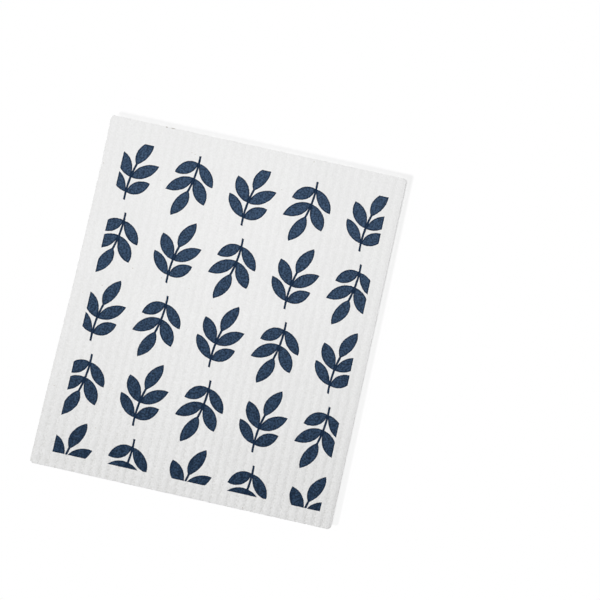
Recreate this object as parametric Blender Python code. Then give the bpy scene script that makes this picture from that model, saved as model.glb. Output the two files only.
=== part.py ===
"""A flat household dishcloth of cellulose sponge cloth, dry and as stiff as card.

The cloth is one sheet. It is cast as a long web with straight ribs on both faces, dried and
die-cut to size, so the model is made the same way: a ribbed web, trimmed by a rounded outline.
Frame: the origin is at the middle of the underside, +X runs across the ribs, +Y runs along them
towards the top of the print, and +Z points up out of the printed face. All sizes are in metres.
"""

import math

import bmesh
import bpy

# The cut sheet
SHEET_WIDTH = 0.170
SHEET_LENGTH = 0.200
SHEET_THICKNESS = 0.0020  # over the crests of the ribs, top and bottom
CORNER_RADIUS = 0.0021

# The ribs, which run the whole length of both faces, crest above crest
RIB_PITCH = 0.00485
RIB_DEPTH = 0.00040  # from the crest down to the bottom of the groove, on each face
CREST_LAND = 0.0010  # the flat top of each rib

# How finely the curves are cut into facets
GROOVE_STEPS = 8
CORNER_STEPS = 8

# The web stands this far past the cut on every side, before it is trimmed
TRIM_ALLOWANCE = 0.006

DRY_CELLULOSE = (0.80, 0.80, 0.79, 1.0)
CELLULOSE_ROUGHNESS = 0.95


def clear_scene():
    """Removes the objects that the file was opened with."""
    for old in list(bpy.data.objects):
        bpy.data.objects.remove(old)


def new_collection(name, is_helper):
    """A collection under the scene's own. A helper's contents are left out of the render."""
    collection = bpy.data.collections.new(name)
    collection.hide_render = is_helper
    bpy.context.scene.collection.children.link(collection)
    return collection


def cellulose_material():
    """Undyed sponge cloth: an off-white with a fully matt surface."""
    material = bpy.data.materials.new("dry_cellulose")
    material.use_nodes = True
    shader = material.node_tree.nodes["Principled BSDF"]
    shader.inputs["Base Color"].default_value = DRY_CELLULOSE
    shader.inputs["Roughness"].default_value = CELLULOSE_ROUGHNESS
    shader.inputs["Metallic"].default_value = 0.0
    return material


def crest_centres():
    """X of each rib's crest. One crest is on the middle line, and the row runs past both cut edges."""
    half_web = SHEET_WIDTH / 2 + TRIM_ALLOWANCE
    per_side = math.ceil(half_web / RIB_PITCH)
    return [RIB_PITCH * rib for rib in range(-per_side, per_side + 1)]


def groove_points(start_x):
    """One groove as (x, depth below the crests): a full wave of a cosine, from one land to the next."""
    groove_width = RIB_PITCH - CREST_LAND
    points = []
    for step in range(GROOVE_STEPS + 1):
        share = step / GROOVE_STEPS
        depth = RIB_DEPTH * (1 - math.cos(2 * math.pi * share)) / 2
        points.append((start_x + groove_width * share, depth))
    return points


def web_section():
    """The closed outline of the web's section, as (x, z) points: ribs above and the same ribs below."""
    centres = crest_centres()
    wave = [(centres[0] - CREST_LAND / 2, 0.0)]
    for centre in centres[:-1]:
        wave += groove_points(centre + CREST_LAND / 2)
    wave.append((centres[-1] + CREST_LAND / 2, 0.0))
    underside = [(x, depth) for x, depth in wave]
    top_face = [(x, SHEET_THICKNESS - depth) for x, depth in wave]
    return underside + top_face[::-1]


def cut_outline():
    """The die's outline as (x, y) points, anticlockwise: a rectangle with round corners."""
    quarter = math.pi / 2
    corner_signs = [(1, 1), (-1, 1), (-1, -1), (1, -1)]
    points = []
    for corner, (side_x, side_y) in enumerate(corner_signs):
        centre_x = side_x * (SHEET_WIDTH / 2 - CORNER_RADIUS)
        centre_y = side_y * (SHEET_LENGTH / 2 - CORNER_RADIUS)
        for step in range(CORNER_STEPS + 1):
            angle = quarter * (corner + step / CORNER_STEPS)
            points.append(
                (
                    centre_x + CORNER_RADIUS * math.cos(angle),
                    centre_y + CORNER_RADIUS * math.sin(angle),
                )
            )
    return points


def extruded_outline(name, points, half_depth):
    """A 2D curve through the points, filled, and extruded by half_depth to each side of its plane."""
    curve = bpy.data.curves.new(name, "CURVE")
    curve.dimensions = "2D"
    curve.fill_mode = "BOTH"
    curve.extrude = half_depth
    spline = curve.splines.new("POLY")
    spline.points.add(len(points) - 1)
    for point, (u, v) in zip(spline.points, points):
        point.co = (u, v, 0.0, 1.0)
    spline.use_cyclic_u = True
    return bpy.data.objects.new(name, curve)


def made_mesh(curve_object, name, collection):
    """The curve object as a mesh object with its caps welded to its sides. The curve is removed."""
    bpy.context.scene.collection.objects.link(curve_object)
    bpy.context.view_layer.update()
    graph = bpy.context.evaluated_depsgraph_get()
    mesh = bpy.data.meshes.new_from_object(curve_object.evaluated_get(graph))
    weld_and_face_out(mesh)
    made = bpy.data.objects.new(name, mesh)
    made.matrix_world = curve_object.matrix_world.copy()
    bpy.data.objects.remove(curve_object)
    collection.objects.link(made)
    return made


def weld_and_face_out(mesh):
    """Joins the loose caps to the sides and turns every face outwards."""
    shape = bmesh.new()
    shape.from_mesh(mesh)
    bmesh.ops.remove_doubles(shape, verts=shape.verts, dist=1e-6)
    bmesh.ops.recalc_face_normals(shape, faces=shape.faces)
    shape.to_mesh(mesh)
    shape.free()


def ribbed_web(collection):
    """The web before it is cut: its section lies in the XZ plane and is extruded along Y."""
    half_length = SHEET_LENGTH / 2 + TRIM_ALLOWANCE
    outline = extruded_outline("web_section", web_section(), half_length)
    outline.rotation_euler.x = math.pi / 2
    return made_mesh(outline, "dishcloth", collection)


def cutting_die(collection):
    """The volume that the die leaves: the rounded outline, taller than the web on both faces."""
    half_height = SHEET_THICKNESS / 2 + TRIM_ALLOWANCE
    outline = extruded_outline("die_outline", cut_outline(), half_height)
    outline.location.z = SHEET_THICKNESS / 2
    die = made_mesh(outline, "cutting_die", collection)
    die.hide_render = True
    die.display_type = "WIRE"
    return die


def trim(sheet, die):
    """Cuts the web to the die's outline."""
    cut = sheet.modifiers.new("die_cut", "BOOLEAN")
    cut.operation = "INTERSECT"
    cut.solver = "EXACT"
    cut.object = die


def main():
    clear_scene()
    parts = new_collection("dishcloth_parts", is_helper=False)
    cutters = new_collection("cutters", is_helper=True)
    sheet = ribbed_web(parts)
    sheet.data.materials.clear()
    sheet.data.materials.append(cellulose_material())
    trim(sheet, cutting_die(cutters))


main()
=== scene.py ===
"""The looks of the dishcloth: dry sponge cloth, ribbed and die-cut, with a navy print, on a white floor.

Lengths are in metres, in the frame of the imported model: +X runs across the ribs, +Y along them
towards the top of the print, and +Z up out of the printed face.
"""
import math

import bpy
import numpy as np
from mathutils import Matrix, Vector, noise


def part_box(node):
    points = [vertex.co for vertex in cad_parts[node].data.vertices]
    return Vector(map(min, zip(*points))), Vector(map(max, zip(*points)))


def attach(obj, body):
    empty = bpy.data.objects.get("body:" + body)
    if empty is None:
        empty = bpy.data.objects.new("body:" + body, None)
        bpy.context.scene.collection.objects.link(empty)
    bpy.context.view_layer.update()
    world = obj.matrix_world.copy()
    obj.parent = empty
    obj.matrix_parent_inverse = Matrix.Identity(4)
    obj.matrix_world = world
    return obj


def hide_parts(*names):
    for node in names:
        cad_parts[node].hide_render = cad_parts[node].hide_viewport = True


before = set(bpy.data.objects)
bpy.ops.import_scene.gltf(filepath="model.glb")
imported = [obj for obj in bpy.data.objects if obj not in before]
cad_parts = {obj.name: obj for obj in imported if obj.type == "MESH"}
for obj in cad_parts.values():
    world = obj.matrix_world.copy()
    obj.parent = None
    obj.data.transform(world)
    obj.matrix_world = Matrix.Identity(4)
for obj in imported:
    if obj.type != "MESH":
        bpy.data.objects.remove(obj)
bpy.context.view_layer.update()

MM = 0.001

# The sheet, as the frame gives it, lying on z = 0 with the middle of its underside at the origin
SHEET_LOW, SHEET_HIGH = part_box("dishcloth")
WIDTH = SHEET_HIGH.x - SHEET_LOW.x
LENGTH = SHEET_HIGH.y - SHEET_LOW.y
THICKNESS = SHEET_HIGH.z - SHEET_LOW.z

# The rounded corners and the ribs on both faces, as in the solid
CORNER_RADIUS = 2.1 * MM
RIB_PITCH = 4.85 * MM
RIB_DEPTH = 0.40 * MM
CREST_LAND = 1.0 * MM

# How even the dried web is: its low lumps, and the slow wander of its ribs
LUMP_ACROSS = 1.7 * MM
LUMP_ALONG = 2.6 * MM
LUMP_HEIGHT = 0.05 * MM
RIB_WANDER = 0.22 * MM
RIB_WANDER_LENGTH = 46 * MM
RIB_WANDER_SPREAD = 5 * RIB_WANDER_LENGTH  # how far apart two ribs have to be to wander differently

# The shares of its full relief that the pressed web has left. Its ribs are flattest at the top right
RELIEF_AT_FOOT = 1.00
RELIEF_AT_TOP = 0.60
RIBS_AT_TOP_RIGHT = 0.40
RIBS_FADE_SPAN = (-25 * MM, 70 * MM)  # the x where they start to get flatter, and where that ends

# The left side has dried with a slight hollow, deepest above the middle, and flares out at the top
HOLLOW_DEPTH = 0.55 * MM
HOLLOW_MIDDLE = 12 * MM
HOLLOW_REACH = 75 * MM
FLARE_WIDTH = 0.70 * MM
FLARE_REACH = 36 * MM

# The cut: the die presses the rim down a little and leaves a slightly torn wall
RIM_WIDTH = 0.4 * MM
RIM_DROP = 0.07 * MM
CUT_WANDER = 0.07 * MM
CUT_WANDER_LENGTH = 3.2 * MM
CUT_WANDER_REACH = 4 * RIM_WIDTH  # how far in from the cut the points still move with it
WALL_BULGE = 0.05 * MM
WALL_TEAR_SIZE = 0.9 * MM

# Where each noise is read from, so that no two are alike
ABOVE_SEED = 1
BELOW_SEED = 2
LUMP_SEED = 10  # on top of the face's own seed
CUT_SEED_X = 31
CUT_SEED_Y = 32
WALL_SEED = 40  # on top of the ring's number

# The mesh: how far apart its columns and rows are, with more of them at the rim
COLUMN_STEP = RIB_PITCH / 8
ROW_STEP = 1.3 * MM
RIM_INSETS = (0.0, 0.14 * MM, 0.36 * MM, 0.70 * MM, 1.15 * MM, 1.65 * MM, 2.2 * MM)
WALL_RINGS = 2


def stations(half, step):
    """Places from -half to half: even in the middle, and at the rim's insets near both ends."""
    inner = half - RIM_INSETS[-1]
    count = round(2 * inner / step)
    middle = np.linspace(-inner, inner, count + 1)
    edge = half - np.array(RIM_INSETS[:-1])
    return np.concatenate([-edge, middle, edge[::-1]])


def noise_over(x, y, across, along, seed):
    """Smooth noise from about -1 to 1 at each point. Its lumps are across wide and along long."""
    points = zip((x / across).ravel(), (y / along).ravel())
    values = [noise.noise(Vector((u, v, seed))) for u, v in points]
    return np.array(values).reshape(x.shape)


def rounded(x, y):
    """The sheet's grid with its four corners rounded. The squares at the corners become quarter discs."""
    out_x = np.clip((abs(x) - WIDTH / 2) / CORNER_RADIUS + 1, 0, 1)
    out_y = np.clip((abs(y) - LENGTH / 2) / CORNER_RADIUS + 1, 0, 1)
    pull_x = CORNER_RADIUS * out_x * (1 - np.sqrt(1 - out_y**2 / 2))
    pull_y = CORNER_RADIUS * out_y * (1 - np.sqrt(1 - out_x**2 / 2))
    return x - np.sign(x) * pull_x, y - np.sign(y) * pull_y


def groove_share(x, y, seed):
    """0 on the flat crests and 1 at the bottom of the cosine grooves, which wander a little."""
    wander = RIB_WANDER * noise_over(x, y, RIB_WANDER_SPREAD, RIB_WANDER_LENGTH, seed)
    from_crest = abs(((x + wander) / RIB_PITCH + 0.5) % 1 - 0.5) * RIB_PITCH
    across = np.clip((from_crest - CREST_LAND / 2) / (RIB_PITCH - CREST_LAND), 0, 0.5)
    return (1 - np.cos(2 * math.pi * across)) / 2


def from_top(y):
    """0 at the top of the sheet and 1 at its foot, for an array or a node's Value."""
    return y * (-1 / LENGTH) + 0.5


def relief_share(y, at_top=RELIEF_AT_TOP):
    """The share of its full relief that the web has at y. It falls fast at first, going up."""
    share = from_top(y)
    return share * share * (RELIEF_AT_FOOT - at_top) + at_top


def inset(x, y):
    """How far in from the nearest side of the sheet a point is."""
    return np.minimum(WIDTH / 2 - abs(x), LENGTH / 2 - abs(y))


def face_depth(x, y, groove, seed):
    """How far one face lies below the plane of its crests, with its lumps and its pressed rim."""
    lumps = LUMP_HEIGHT * (0.5 + 0.5 * noise_over(x, y, LUMP_ACROSS, LUMP_ALONG, seed + LUMP_SEED))
    rim = RIM_DROP * (1 - np.clip(inset(x, y) / RIM_WIDTH, 0, 1)) ** 2
    ribs_at_top = np.interp(x, RIBS_FADE_SPAN, (RELIEF_AT_TOP, RIBS_AT_TOP_RIGHT))
    ribs = RIB_DEPTH * groove * relief_share(y, ribs_at_top)
    return ribs + lumps * relief_share(y) + rim


def hollowed(x, y):
    """The grid with its left side drawn in, and flared at the top. Both fade out towards the right."""
    along = np.clip(1 - ((y - HOLLOW_MIDDLE) / HOLLOW_REACH) ** 2, 0, 1) ** 2
    up_flare = np.clip((y - LENGTH / 2) / FLARE_REACH + 1, 0, 1) ** 2
    return x + (HOLLOW_DEPTH * along - FLARE_WIDTH * up_flare) * (0.5 - x / WIDTH), y


def cut_outline(x, y):
    """The grid's points with the cut's small wander, which fades out away from the rim."""
    fade = CUT_WANDER * (1 - np.clip(inset(x, y) / CUT_WANDER_REACH, 0, 1))
    shift_x = fade * noise_over(x, y, CUT_WANDER_LENGTH, CUT_WANDER_LENGTH, CUT_SEED_X)
    shift_y = fade * noise_over(x, y, CUT_WANDER_LENGTH, CUT_WANDER_LENGTH, CUT_SEED_Y)
    return x + shift_x, y + shift_y


def border(rows, columns):
    """The grid's outermost point numbers, anticlockwise from the first, seen from above."""
    grid = np.arange(rows * columns).reshape(rows, columns)
    return np.concatenate([grid[0, :-1], grid[:-1, -1], grid[-1, :0:-1], grid[:0:-1, 0]])


def grid_quads(rows, columns, first):
    """The quads of a grid whose points are numbered from first, anticlockwise seen from above."""
    grid = np.arange(rows * columns).reshape(rows, columns) + first
    corners = [grid[:-1, :-1], grid[:-1, 1:], grid[1:, 1:], grid[1:, :-1]]
    return np.stack([corner.ravel() for corner in corners], axis=1)


def ring_quads(lower, upper):
    """The quads between two rings of as many points, facing out."""
    return np.stack([lower, np.roll(lower, -1), np.roll(upper, -1), upper], axis=1)


def wall_points(under, above):
    """The rings of points on the cut wall between the rims of the two faces."""
    rings = []
    for ring in range(1, WALL_RINGS + 1):
        share = ring / (WALL_RINGS + 1)
        points = under + (above - under) * share
        around = np.arctan2(points[:, 1], points[:, 0])
        out = np.stack([np.cos(around), np.sin(around)], axis=1)
        tear = 1 + noise_over(points[:, 0], points[:, 1], WALL_TEAR_SIZE, WALL_TEAR_SIZE, WALL_SEED + ring)
        points[:, :2] += out * (WALL_BULGE * tear)[:, None]
        rings.append(points)
    return rings


def sheet_quads(rows, columns, loop):
    """The quads of the upper face, of the lower one and of each strip of the wall, going up."""
    face = rows * columns
    rings = [loop + face]
    for ring in range(WALL_RINGS):
        rings.append(np.arange(len(loop)) + 2 * face + ring * len(loop))
    rings.append(loop)
    quads = [grid_quads(rows, columns, 0), grid_quads(rows, columns, face)[:, ::-1]]
    return quads + [ring_quads(lower, upper) for lower, upper in zip(rings, rings[1:])]


def sheet_mesh():
    """One closed sheet: the two ribbed faces and the cut wall between them, with a UV map."""
    flat_x, flat_y = np.meshgrid(stations(WIDTH / 2, COLUMN_STEP), stations(LENGTH / 2, ROW_STEP))
    x, y = hollowed(*cut_outline(*rounded(flat_x, flat_y)))
    top_groove = groove_share(flat_x, flat_y, ABOVE_SEED)
    under_groove = groove_share(flat_x, flat_y, BELOW_SEED)
    top_z = THICKNESS - face_depth(flat_x, flat_y, top_groove, ABOVE_SEED)
    under_z = face_depth(flat_x, flat_y, under_groove, BELOW_SEED)
    top, under = (np.stack([x, y, z], axis=-1).reshape(-1, 3) for z in (top_z, under_z))
    loop = border(*flat_x.shape)
    points = np.concatenate([top, under, *wall_points(under[loop], top[loop])])
    quads = sheet_quads(*flat_x.shape, loop)

    mesh = bpy.data.meshes.new("dishcloth_sheet")
    mesh.from_pydata(points.tolist(), [], np.concatenate(quads).tolist())
    add_map(mesh, quads, points, len(loop))
    grooves = np.zeros(len(points), np.float32)
    grooves[:2 * len(top)] = np.concatenate([top_groove.ravel(), under_groove.ravel()])
    mesh.attributes.new("groove", "FLOAT", "POINT").data.foreach_set("value", grooves)
    mesh.shade_smooth()
    return mesh


# The UV map's three bands, each as its lowest and highest v: the printed face gets most of it
TOP_BAND = (0.005, 0.700)
UNDER_BAND = (0.710, 0.960)
WALL_BAND = (0.970, 0.995)
MAP_ENDS = (0.005, 0.995)  # the lowest and highest u of every band


def between(ends, share):
    """The value at a share of the way from one end to the other."""
    return ends[0] + (ends[1] - ends[0]) * share


def add_map(mesh, quads, points, loop_length):
    """Unwraps each face flat, with the ribs along u, and the wall as strips along its length."""
    spots = []
    for corners, band in zip(quads[:2], (TOP_BAND, UNDER_BAND)):
        places = points[corners.ravel()]
        u = between(MAP_ENDS, places[:, 1] / LENGTH + 0.5)
        v = between(band, places[:, 0] / WIDTH + 0.5)
        spots.append(np.stack([u, v], axis=1))
    strips = len(quads) - 2
    for strip in range(strips):
        start = np.arange(loop_length) / loop_length
        end = start + 1 / loop_length
        u = between(MAP_ENDS, np.stack([start, end, end, start], axis=1).ravel())
        low, high = (between(WALL_BAND, (strip + side) / strips) for side in (0, 1))
        v = np.tile([low, low, high, high], loop_length)
        spots.append(np.stack([u, v], axis=1))
    layer = mesh.uv_layers.new(name="OFBake")
    layer.uv.foreach_set("vector", np.concatenate(spots).astype(np.float32).ravel())


# The sides of the print's box, which stay clear of the cut. The box cuts the motifs off square
PRINT_LEFT = -WIDTH / 2 + 11 * MM
PRINT_RIGHT = WIDTH / 2 - 7.8 * MM
PRINT_BOTTOM = -LENGTH / 2 + 8.4 * MM
PRINT_TOP = LENGTH / 2 - 12.4 * MM

# The repeat: straight rows and columns of leafy sprigs, turned by half a turn from one to the next
REPEAT_ACROSS = 33.8 * MM
REPEAT_ALONG = 40.75 * MM
REPEAT_START_X = PRINT_LEFT - 9.3 * MM
REPEAT_START_Y = PRINT_BOTTOM - 20.8 * MM

# A sprig in its own axes, with y up its stem: it leans and bends a little
SPRIG_LEAN = math.radians(12)
SPRIG_BEND = 0.008 / MM
STEM_BOTTOM = -16.8 * MM
STEM_TOP = 5.0 * MM
STEM_HALF_WIDTH = 0.62 * MM

# Its leaves, as where the base is up the stem, degrees from the stem, length and width.
# A leaf that leans away from the stem has a twin on the other side
LEAVES = (
    (4.0 * MM, 0, 16.8 * MM, 7.2 * MM),
    (-3.6 * MM, 44, 16.6 * MM, 7.2 * MM),
    (-12.4 * MM, 49, 15.0 * MM, 6.6 * MM),
)
LEAF_STALK_GAP = 0.3 * MM

# The ink: how soft the print's edge is, how far fibres let it creep, its dark rim, mottle, and the painted
# light that makes it lighter towards the top
INK_EDGE_SOFTNESS = 0.05 * MM
INK_CREEP = 0.16 * MM
INK_CREEP_SIZE = 0.8 * MM
INK_RIM_SPAN = (0.90 * MM, 0.30 * MM)  # how far inside the edge the dark rim starts, and where it is full
INK_MOTTLE_SIZE = 1.0 * MM
INK_MOTTLE_SPAN = (0.36, 0.64)
INK_PAINTED_SHADE_POWER = 0.70  # under 1, so that the ink's painted shade stays mostly near the foot
INK_DROP_AT_HEAD = 0.59  # the share of light that the darkest spots of the ink keep back
INK_DROP_AT_FOOT = 0.72

# The structure of dry sponge cloth, with painted shade in its pores and grooves. A span without a unit
# is where in its noise, from 0 to 1, a thing starts to show and where it is full. For a pore, it is the
# distance from its middle in pore sizes
PORE_SIZE = 0.86 * MM
PORE_SPAN = (0.62, 0.20)
PORE_PAINTED_SHADE = 0.6  # the share of painted shade that pores show, at full relief
PORE_DEPTH = 0.10 * MM
FIBRE_SIZE = 0.30 * MM
FIBRE_DEPTH = 0.040 * MM
# Painted shade: blotches along the grooves that grow towards the foot, and an even shade in the grooves,
# more on the left
BLOTCH_SIZE = 0.74 * MM
BLOTCH_SPAN = (0.44, 0.66)
BLOTCH_STRETCH = 1.35  # how much longer the blotches are along the ribs
BLOTCHES_ON_CRESTS = 0.2  # how much of them the crests have, against 1 at the bottom of the grooves
BLOTCH_RISE = 3.2  # the power with which the painted shade of blotches and grooves grows from the top to the foot
GROOVE_PAINTED_SHADE = 0.02  # the share of painted shade that a groove has at the foot
LEFT_GROOVE_PAINTED_SHADE = 0.11  # the share that it has besides on the left, at any height
LEFT_PAINTED_SHADE_SPAN = (10 * MM, -50 * MM)  # the x where that starts, and where it is at its full share
CLOUD_SIZE = 28 * MM
CLOUD_SPAN = (0.35, 0.65)
FLECK_SPACING = 8.0 * MM
FLECK_SPAN = (0.42 * MM, 0.18 * MM)  # the radius of a fleck, and of its full colour

# Two dark fibres caught on the top edge, each as the x of its middle and half its length
EDGE_MARKS = ((-53.6 * MM, 0.8 * MM), (-49.9 * MM, 1.5 * MM))
EDGE_MARK_Y = LENGTH / 2 - 0.15 * MM
EDGE_MARK_HALF_WIDTH = 0.45 * MM
EDGE_MARK_SPAN = (1.0, 0.2)  # the squared distance, in half sizes, where one starts and where it is full
EDGE_MARK_COLOUR = (186, 182, 176)

# Colours, as sRGB from 0 to 255
CLOTH_COLOUR = (242, 242, 242)
# Painted shade in the pores
PORE_PAINTED_SHADE_COLOUR = (230, 230, 229)
CLOTH_CLOUD_COLOUR = (240, 240, 240)
# Painted shade along the grooves and towards the foot
PAINTED_GROOVE_SHADE_COLOUR = (219, 219, 217)
FLECK_COLOUR = (204, 199, 190)
# The ink's colour at the head and at the foot: lighter at the head with painted light, darker at the foot
# with painted shade
INK_LIT_HEAD_COLOUR = (67, 89, 117)
INK_SHADED_FOOT_COLOUR = (49, 71, 97)
INK_RIM_COLOUR = (18, 38, 62)
FLOOR_COLOUR = (244, 244, 244)
BLACK = (0, 0, 0)

# The finish: fully matt, with hardly any sheen
CLOTH_ROUGHNESS = 0.90
INK_ROUGHNESS = 0.78
ROUGHNESS_SPREAD = 0.12  # from fibre to fibre
CLOTH_SPECULAR = 0.06
CLOTH_SHEEN = 0.02
CLOTH_SHEEN_ROUGHNESS = 0.6


def linear(colour):
    """A shader colour from sRGB values from 0 to 255."""
    parts = [value / 255 for value in colour]
    return [p / 12.92 if p <= 0.04045 else ((p + 0.055) / 1.055) ** 2.4 for p in parts] + [1.0]


def feed(tree, value, socket):
    """Links a Value into a socket, or sets the socket to a plain number or colour."""
    if isinstance(value, Value):
        tree.links.new(value.socket, socket)
    else:
        socket.default_value = value


class Value:
    """An output in a node tree. Sums and products of such values are Math nodes."""

    def __init__(self, tree, socket):
        self.tree = tree
        self.socket = socket

    def maths(self, operation, *others):
        """The result of a Math node of this value and the others."""
        node = self.tree.nodes.new("ShaderNodeMath")
        node.operation = operation
        for value, socket in zip((self, *others), node.inputs):
            feed(self.tree, value, socket)
        return Value(self.tree, node.outputs[0])

    def __add__(self, other):
        return self.maths("ADD", other)

    def __sub__(self, other):
        return self.maths("SUBTRACT", other)

    def __rsub__(self, other):
        return -self + other

    def __mul__(self, other):
        return self.maths("MULTIPLY", other)

    def __abs__(self):
        return self.maths("ABSOLUTE")

    def __neg__(self):
        return self.maths("MULTIPLY", -1.0)

    def floor(self):
        return self.maths("FLOOR")

    def most(self, other):
        return self.maths("MAXIMUM", other)

    def least(self, other):
        return self.maths("MINIMUM", other)

    def ramp(self, low, high):
        """A smooth step from 0 at low to 1 at high, whichever of the two is the greater number."""
        node = self.tree.nodes.new("ShaderNodeMapRange")
        node.interpolation_type = "SMOOTHSTEP"
        for value, name in ((self, "Value"), (low, "From Min"), (high, "From Max")):
            feed(self.tree, value, node.inputs[name])
        return Value(self.tree, node.outputs["Result"])


# The colour sockets of a Mix node, which shares their names with sockets of other kinds
MIX_FIRST = 6
MIX_SECOND = 7
MIX_RESULT = 2


def blended(tree, factor, first, second):
    """The colour that is first where factor is 0 and second where it is 1."""
    node = tree.nodes.new("ShaderNodeMix")
    node.data_type = "RGBA"
    feed(tree, factor, node.inputs["Factor"])
    feed(tree, first, node.inputs[MIX_FIRST])
    feed(tree, second, node.inputs[MIX_SECOND])
    return Value(tree, node.outputs[MIX_RESULT])


# How many octaves a noise has
PLAIN_DETAIL = 2.0
FINE_DETAIL = 3.0


def noise_value(tree, place, size, detail=PLAIN_DETAIL, colour=False):
    """Noise from 0 to 1, or as a colour, with lumps of about that size."""
    node = tree.nodes.new("ShaderNodeTexNoise")
    feed(tree, place, node.inputs["Vector"])
    node.inputs["Scale"].default_value = 1 / size
    node.inputs["Detail"].default_value = detail
    return Value(tree, node.outputs["Color" if colour else "Fac"])


def cells(tree, place, size, feature="F1"):
    """A Voronoi node with cells of about that size."""
    node = tree.nodes.new("ShaderNodeTexVoronoi")
    node.feature = feature
    feed(tree, place, node.inputs["Vector"])
    node.inputs["Scale"].default_value = 1 / size
    return node


def vector_maths(tree, operation, *values):
    """A Vector Math node's result."""
    node = tree.nodes.new("ShaderNodeVectorMath")
    node.operation = operation
    for value, socket in zip(values, node.inputs):
        feed(tree, value, socket)
    return Value(tree, node.outputs[0])


def split(tree, place):
    """The three coordinates of a place."""
    node = tree.nodes.new("ShaderNodeSeparateXYZ")
    feed(tree, place, node.inputs[0])
    return [Value(tree, socket) for socket in node.outputs]


def object_place(tree):
    """Where the shaded point is in the part's own frame, in metres."""
    return Value(tree, tree.nodes.new("ShaderNodeTexCoord").outputs["Object"])


def crept(tree, place):
    """The place moved a little at random, as ink creeps along fibres."""
    noise_there = noise_value(tree, place, INK_CREEP_SIZE, colour=True)
    push = vector_maths(tree, "SUBTRACT", noise_there, (0.5,) * 3)
    scaled = vector_maths(tree, "MULTIPLY", push, (2 * INK_CREEP,) * 3)
    return vector_maths(tree, "ADD", place, scaled)


def leaf_depth(across, along, leaf):
    """How far inside a pointed leaf a point is, in metres. Its sides are two equal arcs."""
    base, lean, length, width = leaf
    angle = math.radians(lean)
    half = length / 2
    radius = (half**2 + (width / 2) ** 2) / width
    rise = along - base
    aside = across - (LEAF_STALK_GAP if lean else 0.0)
    up_leaf = aside * math.sin(angle) + rise * math.cos(angle) - half
    off_rib = abs(aside * math.cos(angle) - rise * math.sin(angle)) + (radius - width / 2)
    return radius - (up_leaf * up_leaf + off_rib * off_rib).maths("SQRT")


def sprig_depth(x, y):
    """How far inside the nearest sprig a point is, in metres, for the whole repeat."""
    from_start_x = x - REPEAT_START_X
    from_start_y = y - REPEAT_START_Y
    column = (from_start_x * (1 / REPEAT_ACROSS)).floor()
    row = (from_start_y * (1 / REPEAT_ALONG)).floor()
    turn = (column + row).maths("MODULO", 2.0) * -2.0 + 1.0
    across = (from_start_x - (column + 0.5) * REPEAT_ACROSS) * turn
    along = (from_start_y - (row + 0.5) * REPEAT_ALONG) * turn
    leaning_x = across * math.cos(SPRIG_LEAN) - along * math.sin(SPRIG_LEAN)
    leaning_y = across * math.sin(SPRIG_LEAN) + along * math.cos(SPRIG_LEAN)
    off_stem = abs(leaning_x - leaning_y * leaning_y * SPRIG_BEND)

    stem_ends = (leaning_y - STEM_BOTTOM).least(STEM_TOP - leaning_y)
    depth = (STEM_HALF_WIDTH - off_stem).least(stem_ends)
    for leaf in LEAVES:
        depth = depth.most(leaf_depth(off_stem, leaning_y, leaf))
    return depth


def print_depth(tree, place):
    """How far inside the print a point is, in metres. It is negative on bare cloth and on the back."""
    x, y, _ = split(tree, crept(tree, place))
    _, _, height = split(tree, place)
    box_x = (x - PRINT_LEFT).least(PRINT_RIGHT - x)
    box_y = (y - PRINT_BOTTOM).least(PRINT_TOP - y)
    upper_face = height - THICKNESS / 2
    return sprig_depth(x, y).least(box_x.least(box_y)).least(upper_face)


def groove_value(tree):
    """0 on the crests and 1 at the bottom of the grooves, as the mesh stores it."""
    node = tree.nodes.new("ShaderNodeAttribute")
    node.attribute_name = "groove"
    return Value(tree, node.outputs["Fac"])


def edge_marks(tree, place):
    """1 on the two small dark fibres at the top edge, fading to 0 round them."""
    x, y, _ = split(tree, place)
    shown = 0.0
    for middle, half_length in EDGE_MARKS:
        along = (x - middle) * (1 / half_length)
        across = (y - EDGE_MARK_Y) * (1 / EDGE_MARK_HALF_WIDTH)
        shown = (along * along + across * across).ramp(*EDGE_MARK_SPAN).most(shown)
    return shown


def painted_groove_shade(tree, place):
    """How much painted shade shows: in blotches along the grooves that grow towards the foot, and evenly
    in the grooves, more so on the left.
    """
    x, y, _ = split(tree, place)
    stretched = vector_maths(tree, "MULTIPLY", place, (1.0, 1 / BLOTCH_STRETCH, 1.0))
    blotches = noise_value(tree, stretched, BLOTCH_SIZE, detail=FINE_DETAIL).ramp(*BLOTCH_SPAN)
    by_groove = groove_value(tree) * (1 - BLOTCHES_ON_CRESTS) + BLOTCHES_ON_CRESTS
    risen = from_top(y).most(0.0).maths("POWER", BLOTCH_RISE)
    even_groove_shade = risen * GROOVE_PAINTED_SHADE + x.ramp(*LEFT_PAINTED_SHADE_SPAN) * LEFT_GROOVE_PAINTED_SHADE
    return blotches * by_groove * risen + groove_value(tree) * even_groove_shade


def flecks(tree, place):
    """1 on the few plant flecks, fading to 0 round them."""
    from_fleck = Value(tree, cells(tree, place, FLECK_SPACING).outputs["Distance"])
    return from_fleck.ramp(*(radius / FLECK_SPACING for radius in FLECK_SPAN))


def cloth_colour(tree, place, pores):
    """Undyed cellulose: faint clouds, painted shade in its pores and in blotches along the grooves, and a
    few plant flecks.
    """
    _, y, _ = split(tree, place)
    clouds = noise_value(tree, place, CLOUD_SIZE).ramp(*CLOUD_SPAN)
    colour = blended(tree, clouds, linear(CLOTH_COLOUR), linear(CLOTH_CLOUD_COLOUR))
    # Painted shade in the pores, fainter towards the top
    colour = blended(tree, pores * relief_share(y) * PORE_PAINTED_SHADE, colour, linear(PORE_PAINTED_SHADE_COLOUR))
    # Painted shade along the grooves, growing towards the foot and stronger on the left
    colour = blended(tree, painted_groove_shade(tree, place), colour, linear(PAINTED_GROOVE_SHADE_COLOUR))
    colour = blended(tree, flecks(tree, place), colour, linear(FLECK_COLOUR))
    return blended(tree, edge_marks(tree, place), colour, linear(EDGE_MARK_COLOUR))


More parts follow.
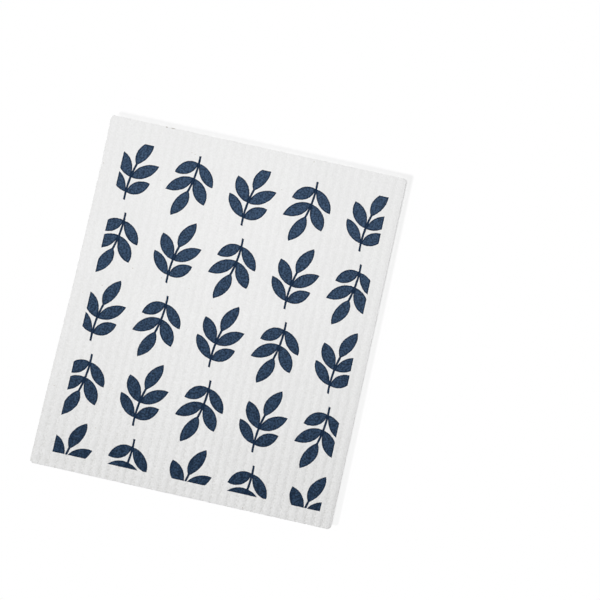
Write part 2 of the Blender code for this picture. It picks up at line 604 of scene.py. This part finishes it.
def ink_colour(tree, place, depth):
    """Navy ink, with painted light that makes it lighter towards the print's top and darker towards its
    foot, mottled by the fibres and darker along each edge.
    """
    _, y, _ = split(tree, place)
    up_print = ((y - PRINT_BOTTOM) * (1 / (PRINT_TOP - PRINT_BOTTOM))).most(0.0)
    up_print = up_print.maths("POWER", INK_PAINTED_SHADE_POWER)
    # Painted light: the ink is lighter towards the top of the print and darker towards its foot
    ink = blended(tree, up_print, linear(INK_SHADED_FOOT_COLOUR), linear(INK_LIT_HEAD_COLOUR))
    mottle = noise_value(tree, place, INK_MOTTLE_SIZE, detail=FINE_DETAIL).ramp(*INK_MOTTLE_SPAN)
    # The mottle goes deeper towards the foot, which adds to the painted shade there
    drop = up_print * (INK_DROP_AT_HEAD - INK_DROP_AT_FOOT) + INK_DROP_AT_FOOT
    ink = blended(tree, mottle * drop, ink, linear(BLACK))
    return blended(tree, depth.ramp(*INK_RIM_SPAN), ink, linear(INK_RIM_COLOUR))


def bumped(tree, height):
    """The surface's normal, tilted as if the surface rose by the height, in metres."""
    bump = tree.nodes.new("ShaderNodeBump")
    bump.inputs["Distance"].default_value = 1.0
    feed(tree, height, bump.inputs["Height"])
    return Value(tree, bump.outputs["Normal"])


def sponge_cloth():
    """Dry cellulose sponge cloth, printed on its upper face."""
    material = bpy.data.materials.new("sponge_cloth")
    material.use_nodes = True
    tree = material.node_tree
    shader = tree.nodes["Principled BSDF"]
    place = object_place(tree)

    pore_cells = cells(tree, place, PORE_SIZE, "SMOOTH_F1")
    pores = Value(tree, pore_cells.outputs["Distance"]).ramp(*PORE_SPAN)
    depth = print_depth(tree, place)
    inked = depth.ramp(-INK_EDGE_SOFTNESS, INK_EDGE_SOFTNESS)
    colour = blended(tree, inked, cloth_colour(tree, place, pores), ink_colour(tree, place, depth))
    feed(tree, colour, shader.inputs["Base Color"])

    fibres = noise_value(tree, place, FIBRE_SIZE, detail=FINE_DETAIL)
    bare_roughness = fibres * ROUGHNESS_SPREAD + (CLOTH_ROUGHNESS - ROUGHNESS_SPREAD / 2)
    roughness = inked * (INK_ROUGHNESS - CLOTH_ROUGHNESS) + bare_roughness
    feed(tree, roughness, shader.inputs["Roughness"])
    shader.inputs["Specular IOR Level"].default_value = CLOTH_SPECULAR
    shader.inputs["Sheen Weight"].default_value = CLOTH_SHEEN
    shader.inputs["Sheen Roughness"].default_value = CLOTH_SHEEN_ROUGHNESS

    _, y, _ = split(tree, place)
    height = (pores * -PORE_DEPTH + fibres * FIBRE_DEPTH) * relief_share(y)
    feed(tree, bumped(tree, height), shader.inputs["Normal"])
    return material


def make_sheet():
    """The dishcloth itself."""
    sheet = bpy.data.objects.new("dishcloth_sheet", sheet_mesh())
    bpy.context.scene.collection.objects.link(sheet)
    sheet.data.materials.append(sponge_cloth())
    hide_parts("dishcloth")
    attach(sheet, "root")


# The floor shows as pure white, apart from the sheet's soft shadow, which is partly painted. A share of
# what the eye sees of it is a plain glow. It is weaker in a shadow-shaped zone by the sheet, so that the
# floor's duller lit colour shows there as painted shadow along with the real one, and more so at the top,
# where more light comes
FLOOR_WIDTH = 8.0
GLOW_AT_FOOT = 0.67
GLOW_AT_TOP = 0.25

# The painted shadow's outline is the sheet's, moved a little and then drawn in on every side
SHADOW_SHIFT = 3.2 * MM  # along +X, and as far along +Y
SHADOW_INSET = 1.3 * MM
SHADOW_FADE = 2.3 * MM  # how far past its outline the shadow ends


def seen_directly(tree):
    """1 for rays from the eye or from a mirror or glass, and 0 for the light on other surfaces."""
    path = tree.nodes.new("ShaderNodeLightPath")
    seen = Value(tree, path.outputs["Is Camera Ray"])
    for name in ("Is Glossy Ray", "Is Transmission Ray"):
        seen = seen.most(Value(tree, path.outputs[name]))
    return seen


def floor_material():
    """Matt white card, glowing white to the eye. Beside the sheet it glows less, in a zone shaped like its
    shadow, so that a partly painted shadow shows there.
    """
    material = bpy.data.materials.new("white_card")
    material.use_nodes = True
    tree = material.node_tree
    tree.nodes.clear()
    x, y, _ = split(tree, object_place(tree))
    aside = (abs(x - SHADOW_SHIFT) - (WIDTH / 2 - SHADOW_INSET)).most(0.0)
    ahead = (abs(y - SHADOW_SHIFT) - (LENGTH / 2 - SHADOW_INSET)).most(0.0)
    off_sheet = (aside * aside + ahead * ahead).maths("SQRT")
    by_sheet = y * ((GLOW_AT_TOP - GLOW_AT_FOOT) / LENGTH) + between((GLOW_AT_FOOT, GLOW_AT_TOP), 0.5)
    # Painted shadow: inside the zone the glow is weaker, so the duller lit floor shows there besides the
    # real shadow
    glow_share = by_sheet.most(off_sheet.ramp(0.0, SHADOW_FADE))
    card = tree.nodes.new("ShaderNodeBsdfDiffuse")
    card.inputs["Color"].default_value = linear(FLOOR_COLOUR)
    glow = tree.nodes.new("ShaderNodeEmission")
    mix = tree.nodes.new("ShaderNodeMixShader")
    feed(tree, seen_directly(tree) * glow_share, mix.inputs["Fac"])
    tree.links.new(card.outputs["BSDF"], mix.inputs[1])
    tree.links.new(glow.outputs["Emission"], mix.inputs[2])
    output = tree.nodes.new("ShaderNodeOutputMaterial")
    tree.links.new(mix.outputs["Shader"], output.inputs["Surface"])
    return material


def make_floor():
    """A wide floor at the height of the sheet's lowest crests."""
    bpy.ops.mesh.primitive_plane_add(size=FLOOR_WIDTH, location=(0, 0, SHEET_LOW.z))
    floor = bpy.context.object
    floor.name = "floor"
    floor.data.materials.append(floor_material())


# Light: an even white surround, a softbox above the top of the print and a weaker one low on the left
SURROUND_STRENGTH = 0.25
SOFTBOX_PLACE = (-0.034, 0.086, 0.594)
SOFTBOX_WIDTH = 0.30
SOFTBOX_POWER = 2.70
SIDE_PLACE = (-0.50, -0.32, 0.17)
SIDE_WIDTH = 0.20
SIDE_POWER = 0.40


def make_surround():
    """A white world: what the eye sees of it is pure white, and what it lights is weaker."""
    world = bpy.data.worlds.new("surround")
    bpy.context.scene.world = world
    world.use_nodes = True
    tree = world.node_tree
    background = tree.nodes["Background"]
    background.inputs["Color"].default_value = (1.0, 1.0, 1.0, 1.0)
    strength = seen_directly(tree) * (1 - SURROUND_STRENGTH) + SURROUND_STRENGTH
    feed(tree, strength, background.inputs["Strength"])


def make_softbox(name, place, width, power):
    """A square lamp that faces the middle of the sheet."""
    lamp = bpy.data.lights.new(name, "AREA")
    lamp.size = width
    lamp.energy = power
    box = bpy.data.objects.new(name, lamp)
    box.location = place
    box.rotation_euler = (-Vector(place)).to_track_quat("-Z", "Y").to_euler()
    box.visible_camera = False
    bpy.context.scene.collection.objects.link(box)


# The camera: a long lens almost straight above the sheet, turned a little to its right
CAMERA_LENS = 100
CAMERA_DISTANCE = 0.9312
CAMERA_AZIMUTH = math.radians(12.55)
CAMERA_ELEVATION = math.radians(83.37)
CAMERA_AIM = Vector((41.07 * MM, 20.43 * MM, 0.0))


def make_camera():
    """The photograph's viewing angle. The aim point is what the middle of the picture shows."""
    back = Vector(
        (
            math.sin(CAMERA_AZIMUTH) * math.cos(CAMERA_ELEVATION),
            -math.cos(CAMERA_AZIMUTH) * math.cos(CAMERA_ELEVATION),
            math.sin(CAMERA_ELEVATION),
        )
    )
    camera = bpy.data.objects.new("camera", bpy.data.cameras.new("camera"))
    camera.data.lens = CAMERA_LENS
    camera.location = CAMERA_AIM + back * CAMERA_DISTANCE
    camera.rotation_euler = (-back).to_track_quat("-Z", "Y").to_euler()
    bpy.context.scene.collection.objects.link(camera)
    bpy.context.scene.camera = camera


bpy.context.scene.view_settings.view_transform = "Standard"
make_camera()
make_floor()
make_surround()
make_softbox("softbox", SOFTBOX_PLACE, SOFTBOX_WIDTH, SOFTBOX_POWER)
make_softbox("side_softbox", SIDE_PLACE, SIDE_WIDTH, SIDE_POWER)
make_sheet()
